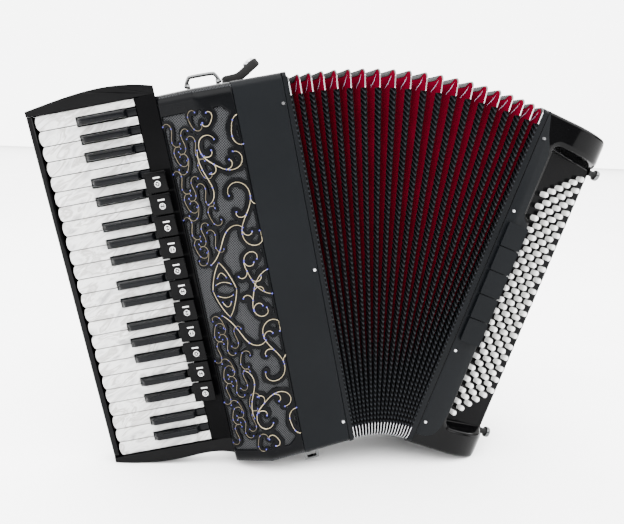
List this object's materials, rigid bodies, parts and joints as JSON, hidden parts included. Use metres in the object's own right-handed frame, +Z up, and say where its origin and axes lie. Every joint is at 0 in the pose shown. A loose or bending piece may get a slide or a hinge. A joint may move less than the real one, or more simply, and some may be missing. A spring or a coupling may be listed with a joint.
{
  "type": "piano accordion",
  "caption": "Piano accordion standing with its bellows fanned open; hinged piano keys, sprung bass buttons, register tabs and folding bellows.",
  "frame": {"origin": "bottom centre of the bounding box of the instrument as it stands with the bellows open", "axes": "+Z up, +X from the keyboard towards the bass end, -Y towards the audience (front), +Y towards the player"},
  "size_m": [0.8135, 0.2036, 0.55],
  "materials": {
    "black_lacquer": "polished black lacquer",
    "black_satin": "satin black",
    "grille_black": "gloss black enamel",
    "mesh_cloth": "woven",
    "frame_wood": "satin black",
    "bellows_cloth": "black tape over red cloth",
    "chrome": "polished",
    "steel": "bright",
    "leather": "black grained",
    "pearl": "pearl white",
    "black_key": "satin"
  },
  "bodies": {
    "treble": {"treble_case": "black_lacquer", "treble_bellows_frame": "frame_wood", "treble_bellows_pins": "chrome", "grille": "grille_black", "grille_mesh": "mesh_cloth", "keyboard_bed": "black_satin", "keyboard_cheek_top": "black_lacquer", "keyboard_cheek_bottom": "black_lacquer", "keyboard_wall": "black_lacquer", "key_axle": "steel", "strap_brackets": "chrome", "bellows_strap": "leather"},
    "fold_02": {"bellows_fold_02": "bellows_cloth"},
    "fold_03": {"bellows_fold_03": "bellows_cloth"},
    "fold_04": {"bellows_fold_04": "bellows_cloth"},
    "fold_05": {"bellows_fold_05": "bellows_cloth"},
    "fold_06": {"bellows_fold_06": "bellows_cloth"},
    "fold_07": {"bellows_fold_07": "bellows_cloth"},
    "fold_08": {"bellows_fold_08": "bellows_cloth"},
    "fold_09": {"bellows_fold_09": "bellows_cloth"},
    "fold_10": {"bellows_fold_10": "bellows_cloth"},
    "fold_11": {"bellows_fold_11": "bellows_cloth"},
    "fold_12": {"bellows_fold_12": "bellows_cloth"},
    "fold_13": {"bellows_fold_13": "bellows_cloth"},
    "fold_14": {"bellows_fold_14": "bellows_cloth"},
    "fold_15": {"bellows_fold_15": "bellows_cloth"},
    "fold_16": {"bellows_fold_16": "bellows_cloth"},
    "fold_17": {"bellows_fold_17": "bellows_cloth"},
    "fold_18": {"bellows_fold_18": "bellows_cloth"},
    "fold_19": {"bellows_fold_19": "bellows_cloth"},
    "bass": {"bass_bellows_frame": "frame_wood", "bass_case": "black_lacquer", "bass_front_panel": "black_satin", "bass_bellows_pins": "chrome", "bass_button_board": "black_lacquer", "bass_feet": "chrome", "bass_strap": "leather"},
    "key_group_c": {"key_c": "pearl"},
    "key_group_c_sharp": {"key_c_sharp": "black_key"},
    "key_group_d": {"key_d": "pearl"},
    "key_group_d_sharp": {"key_d_sharp": "black_key"},
    "key_group_e": {"key_e": "pearl"},
    "key_group_f": {"key_f": "pearl"},
    "key_group_f_sharp": {"key_f_sharp": "black_key"},
    "key_group_g": {"key_g": "pearl"},
    "key_group_g_sharp": {"key_g_sharp": "black_key"},
    "key_group_a": {"key_a": "pearl"},
    "key_group_a_sharp": {"key_a_sharp": "black_key"},
    "key_group_b": {"key_b": "pearl"},
    "registers_raised": {"treble_registers": "black_satin"},
    "register_engaged": {"treble_register_engaged": "black_satin"},
    "strap_loop": {"strap_loop": "chrome"},
    "bass_registers": {"bass_registers": "black_satin"},
    "button_row_1": {"bass_buttons_row_1": "pearl"},
    "button_row_2": {"bass_buttons_row_2": "pearl"},
    "button_row_3": {"bass_buttons_row_3": "pearl"},
    "button_row_4": {"bass_buttons_row_4": "pearl"},
    "button_row_5": {"bass_buttons_row_5": "pearl"},
    "button_row_6": {"bass_buttons_row_6": "pearl"},
    "air_button": {"air_button": "black_key"}
  },
  "joints": [
    {"name": "bellows_open_01", "type": "hinge", "parent": "treble", "child": "fold_02", "pos_m": [0.02951, 0.00225, 0.04555], "axis": [0, 1, 0], "range_deg": [-1.16, 0.4]},
    {"name": "bellows_open_02", "type": "hinge", "parent": "fold_02", "child": "fold_03", "pos_m": [0.03365, 0.00225, 0.04642], "axis": [0, 1, 0], "range_deg": [-1.27, 0.44]},
    {"name": "bellows_open_03", "type": "hinge", "parent": "fold_03", "child": "fold_04", "pos_m": [0.03776, 0.00225, 0.04719], "axis": [0, 1, 0], "range_deg": [-1.39, 0.48]},
    {"name": "bellows_open_04", "type": "hinge", "parent": "fold_04", "child": "fold_05", "pos_m": [0.04184, 0.00225, 0.04786], "axis": [0, 1, 0], "range_deg": [-1.52, 0.53]},
    {"name": "bellows_open_05", "type": "hinge", "parent": "fold_05", "child": "fold_06", "pos_m": [0.04589, 0.00225, 0.04841], "axis": [0, 1, 0], "range_deg": [-1.65, 0.57]},
    {"name": "bellows_open_06", "type": "hinge", "parent": "fold_06", "child": "fold_07", "pos_m": [0.04991, 0.00225, 0.04884], "axis": [0, 1, 0], "range_deg": [-1.78, 0.62]},
    {"name": "bellows_open_07", "type": "hinge", "parent": "fold_07", "child": "fold_08", "pos_m": [0.05389, 0.00225, 0.04914], "axis": [0, 1, 0], "range_deg": [-1.89, 0.65]},
    {"name": "bellows_open_08", "type": "hinge", "parent": "fold_08", "child": "fold_09", "pos_m": [0.05785, 0.00225, 0.0493], "axis": [0, 1, 0], "range_deg": [-1.99, 0.69]},
    {"name": "bellows_open_09", "type": "hinge", "parent": "fold_09", "child": "fold_10", "pos_m": [0.06178, 0.00225, 0.04933], "axis": [0, 1, 0], "range_deg": [-2.06, 0.71]},
    {"name": "bellows_open_10", "type": "hinge", "parent": "fold_10", "child": "fold_11", "pos_m": [0.06568, 0.00225, 0.04922], "axis": [0, 1, 0], "range_deg": [-2.11, 0.73]},
    {"name": "bellows_open_11", "type": "hinge", "parent": "fold_11", "child": "fold_12", "pos_m": [0.06957, 0.00225, 0.04897], "axis": [0, 1, 0], "range_deg": [-2.13, 0.74]},
    {"name": "bellows_open_12", "type": "hinge", "parent": "fold_12", "child": "fold_13", "pos_m": [0.07344, 0.00225, 0.04858], "axis": [0, 1, 0], "range_deg": [-2.12, 0.73]},
    {"name": "bellows_open_13", "type": "hinge", "parent": "fold_13", "child": "fold_14", "pos_m": [0.0773, 0.00225, 0.04804], "axis": [0, 1, 0], "range_deg": [-2.08, 0.72]},
    {"name": "bellows_open_14", "type": "hinge", "parent": "fold_14", "child": "fold_15", "pos_m": [0.08116, 0.00225, 0.04736], "axis": [0, 1, 0], "range_deg": [-2, 0.69]},
    {"name": "bellows_open_15", "type": "hinge", "parent": "fold_15", "child": "fold_16", "pos_m": [0.08503, 0.00225, 0.04653], "axis": [0, 1, 0], "range_deg": [-1.89, 0.66]},
    {"name": "bellows_open_16", "type": "hinge", "parent": "fold_16", "child": "fold_17", "pos_m": [0.08892, 0.00225, 0.04557], "axis": [0, 1, 0], "range_deg": [-1.76, 0.61]},
    {"name": "bellows_open_17", "type": "hinge", "parent": "fold_17", "child": "fold_18", "pos_m": [0.09282, 0.00225, 0.04448], "axis": [0, 1, 0], "range_deg": [-1.59, 0.55]},
    {"name": "bellows_open_18", "type": "hinge", "parent": "fold_18", "child": "fold_19", "pos_m": [0.09676, 0.00225, 0.04326], "axis": [0, 1, 0], "range_deg": [-1.41, 0.49]},
    {"name": "bellows_open_19", "type": "hinge", "parent": "fold_19", "child": "bass", "pos_m": [0.10072, 0.00225, 0.04192], "axis": [0, 1, 0], "range_deg": [-1.22, 0.42]},
    {"name": "press_key_c", "type": "hinge", "parent": "treble", "child": "key_group_c", "pos_m": [-0.19924, -0.04525, 0.26031], "axis": [0.2267, 0, -0.974], "range_deg": [0, 1.6], "stiffness_Nm_per_rad": 1, "springref_deg": -6.88},
    {"name": "press_key_c_sharp", "type": "hinge", "parent": "treble", "child": "key_group_c_sharp", "pos_m": [-0.19924, -0.04525, 0.26031], "axis": [0.2267, 0, -0.974], "range_deg": [0, 1.6], "stiffness_Nm_per_rad": 1, "springref_deg": -6.88},
    {"name": "press_key_d", "type": "hinge", "parent": "treble", "child": "key_group_d", "pos_m": [-0.19924, -0.04525, 0.26031], "axis": [0.2267, 0, -0.974], "range_deg": [0, 1.6], "stiffness_Nm_per_rad": 1, "springref_deg": -6.88},
    {"name": "press_key_d_sharp", "type": "hinge", "parent": "treble", "child": "key_group_d_sharp", "pos_m": [-0.19924, -0.04525, 0.26031], "axis": [0.2267, 0, -0.974], "range_deg": [0, 1.6], "stiffness_Nm_per_rad": 1, "springref_deg": -6.88},
    {"name": "press_key_e", "type": "hinge", "parent": "treble", "child": "key_group_e", "pos_m": [-0.19924, -0.04525, 0.26031], "axis": [0.2267, 0, -0.974], "range_deg": [0, 1.6], "stiffness_Nm_per_rad": 1, "springref_deg": -6.88},
    {"name": "press_key_f", "type": "hinge", "parent": "treble", "child": "key_group_f", "pos_m": [-0.19924, -0.04525, 0.26031], "axis": [0.2267, 0, -0.974], "range_deg": [0, 1.6], "stiffness_Nm_per_rad": 1, "springref_deg": -6.88},
    {"name": "press_key_f_sharp", "type": "hinge", "parent": "treble", "child": "key_group_f_sharp", "pos_m": [-0.19924, -0.04525, 0.26031], "axis": [0.2267, 0, -0.974], "range_deg": [0, 1.6], "stiffness_Nm_per_rad": 1, "springref_deg": -6.88},
    {"name": "press_key_g", "type": "hinge", "parent": "treble", "child": "key_group_g", "pos_m": [-0.19924, -0.04525, 0.26031], "axis": [0.2267, 0, -0.974], "range_deg": [0, 1.6], "stiffness_Nm_per_rad": 1, "springref_deg": -6.88},
    {"name": "press_key_g_sharp", "type": "hinge", "parent": "treble", "child": "key_group_g_sharp", "pos_m": [-0.19924, -0.04525, 0.26031], "axis": [0.2267, 0, -0.974], "range_deg": [0, 1.6], "stiffness_Nm_per_rad": 1, "springref_deg": -6.88},
    {"name": "press_key_a", "type": "hinge", "parent": "treble", "child": "key_group_a", "pos_m": [-0.19924, -0.04525, 0.26031], "axis": [0.2267, 0, -0.974], "range_deg": [0, 1.6], "stiffness_Nm_per_rad": 1, "springref_deg": -6.88},
    {"name": "press_key_a_sharp", "type": "hinge", "parent": "treble", "child": "key_group_a_sharp", "pos_m": [-0.19924, -0.04525, 0.26031], "axis": [0.2267, 0, -0.974], "range_deg": [0, 1.6], "stiffness_Nm_per_rad": 1, "springref_deg": -6.88},
    {"name": "press_key_b", "type": "hinge", "parent": "treble", "child": "key_group_b", "pos_m": [-0.19924, -0.04525, 0.26031], "axis": [0.2267, 0, -0.974], "range_deg": [0, 1.6], "stiffness_Nm_per_rad": 1, "springref_deg": -6.88},
    {"name": "press_treble_registers", "type": "slide", "parent": "treble", "child": "registers_raised", "axis": [0.3356, 0.9388, 0.0781], "range_m": [0, 0.0025]},
    {"name": "release_engaged_register", "type": "slide", "parent": "treble", "child": "register_engaged", "axis": [-0.3356, -0.9388, -0.0781], "range_m": [0, 0.0025]},
    {"name": "strap_loop_swing", "type": "hinge", "parent": "treble", "child": "strap_loop", "pos_m": [-0.1852, -0.02575, 0.51985], "axis": [0.974, 0, 0.2267], "range_deg": [-75, 75]},
    {"name": "press_bass_registers", "type": "slide", "parent": "bass", "child": "bass_registers", "axis": [0, 1, 0], "range_m": [0, 0.0022]},
    {"name": "press_button_row_1", "type": "slide", "parent": "bass", "child": "button_row_1", "axis": [-0.3522, 0.9272, 0.1275], "range_m": [0, 0.004], "stiffness_N_per_m": 150, "springref_m": -0.004},
    {"name": "press_button_row_2", "type": "slide", "parent": "bass", "child": "button_row_2", "axis": [-0.3522, 0.9272, 0.1275], "range_m": [0, 0.004], "stiffness_N_per_m": 150, "springref_m": -0.004},
    {"name": "press_button_row_3", "type": "slide", "parent": "bass", "child": "button_row_3", "axis": [-0.3522, 0.9272, 0.1275], "range_m": [0, 0.004], "stiffness_N_per_m": 150, "springref_m": -0.004},
    {"name": "press_button_row_4", "type": "slide", "parent": "bass", "child": "button_row_4", "axis": [-0.3522, 0.9272, 0.1275], "range_m": [0, 0.004], "stiffness_N_per_m": 150, "springref_m": -0.004},
    {"name": "press_button_row_5", "type": "slide", "parent": "bass", "child": "button_row_5", "axis": [-0.3522, 0.9272, 0.1275], "range_m": [0, 0.004], "stiffness_N_per_m": 150, "springref_m": -0.004},
    {"name": "press_button_row_6", "type": "slide", "parent": "bass", "child": "button_row_6", "axis": [-0.3522, 0.9272, 0.1275], "range_m": [0, 0.004], "stiffness_N_per_m": 150, "springref_m": -0.004},
    {"name": "press_air_button", "type": "slide", "parent": "bass", "child": "air_button", "axis": [-0.9403, 0, 0.3404], "range_m": [0, 0.004], "stiffness_N_per_m": 200, "springref_m": -0.004}
  ],
  "couplings": [
    {"joint": "bellows_open_02", "follows": "bellows_open_01", "ratio": 1.0954},
    {"joint": "bellows_open_03", "follows": "bellows_open_01", "ratio": 1.2036},
    {"joint": "bellows_open_04", "follows": "bellows_open_01", "ratio": 1.3167},
    {"joint": "bellows_open_05", "follows": "bellows_open_01", "ratio": 1.4293},
    {"joint": "bellows_open_06", "follows": "bellows_open_01", "ratio": 1.5366},
    {"joint": "bellows_open_07", "follows": "bellows_open_01", "ratio": 1.6339},
    {"joint": "bellows_open_08", "follows": "bellows_open_01", "ratio": 1.7169},
    {"joint": "bellows_open_09", "follows": "bellows_open_01", "ratio": 1.7815},
    {"joint": "bellows_open_10", "follows": "bellows_open_01", "ratio": 1.8241},
    {"joint": "bellows_open_11", "follows": "bellows_open_01", "ratio": 1.8419},
    {"joint": "bellows_open_12", "follows": "bellows_open_01", "ratio": 1.8325},
    {"joint": "bellows_open_13", "follows": "bellows_open_01", "ratio": 1.7949},
    {"joint": "bellows_open_14", "follows": "bellows_open_01", "ratio": 1.7289},
    {"joint": "bellows_open_15", "follows": "bellows_open_01", "ratio": 1.6356},
    {"joint": "bellows_open_16", "follows": "bellows_open_01", "ratio": 1.5172},
    {"joint": "bellows_open_17", "follows": "bellows_open_01", "ratio": 1.3773},
    {"joint": "bellows_open_18", "follows": "bellows_open_01", "ratio": 1.2202},
    {"joint": "bellows_open_19", "follows": "bellows_open_01", "ratio": 1.0516}
  ]
}
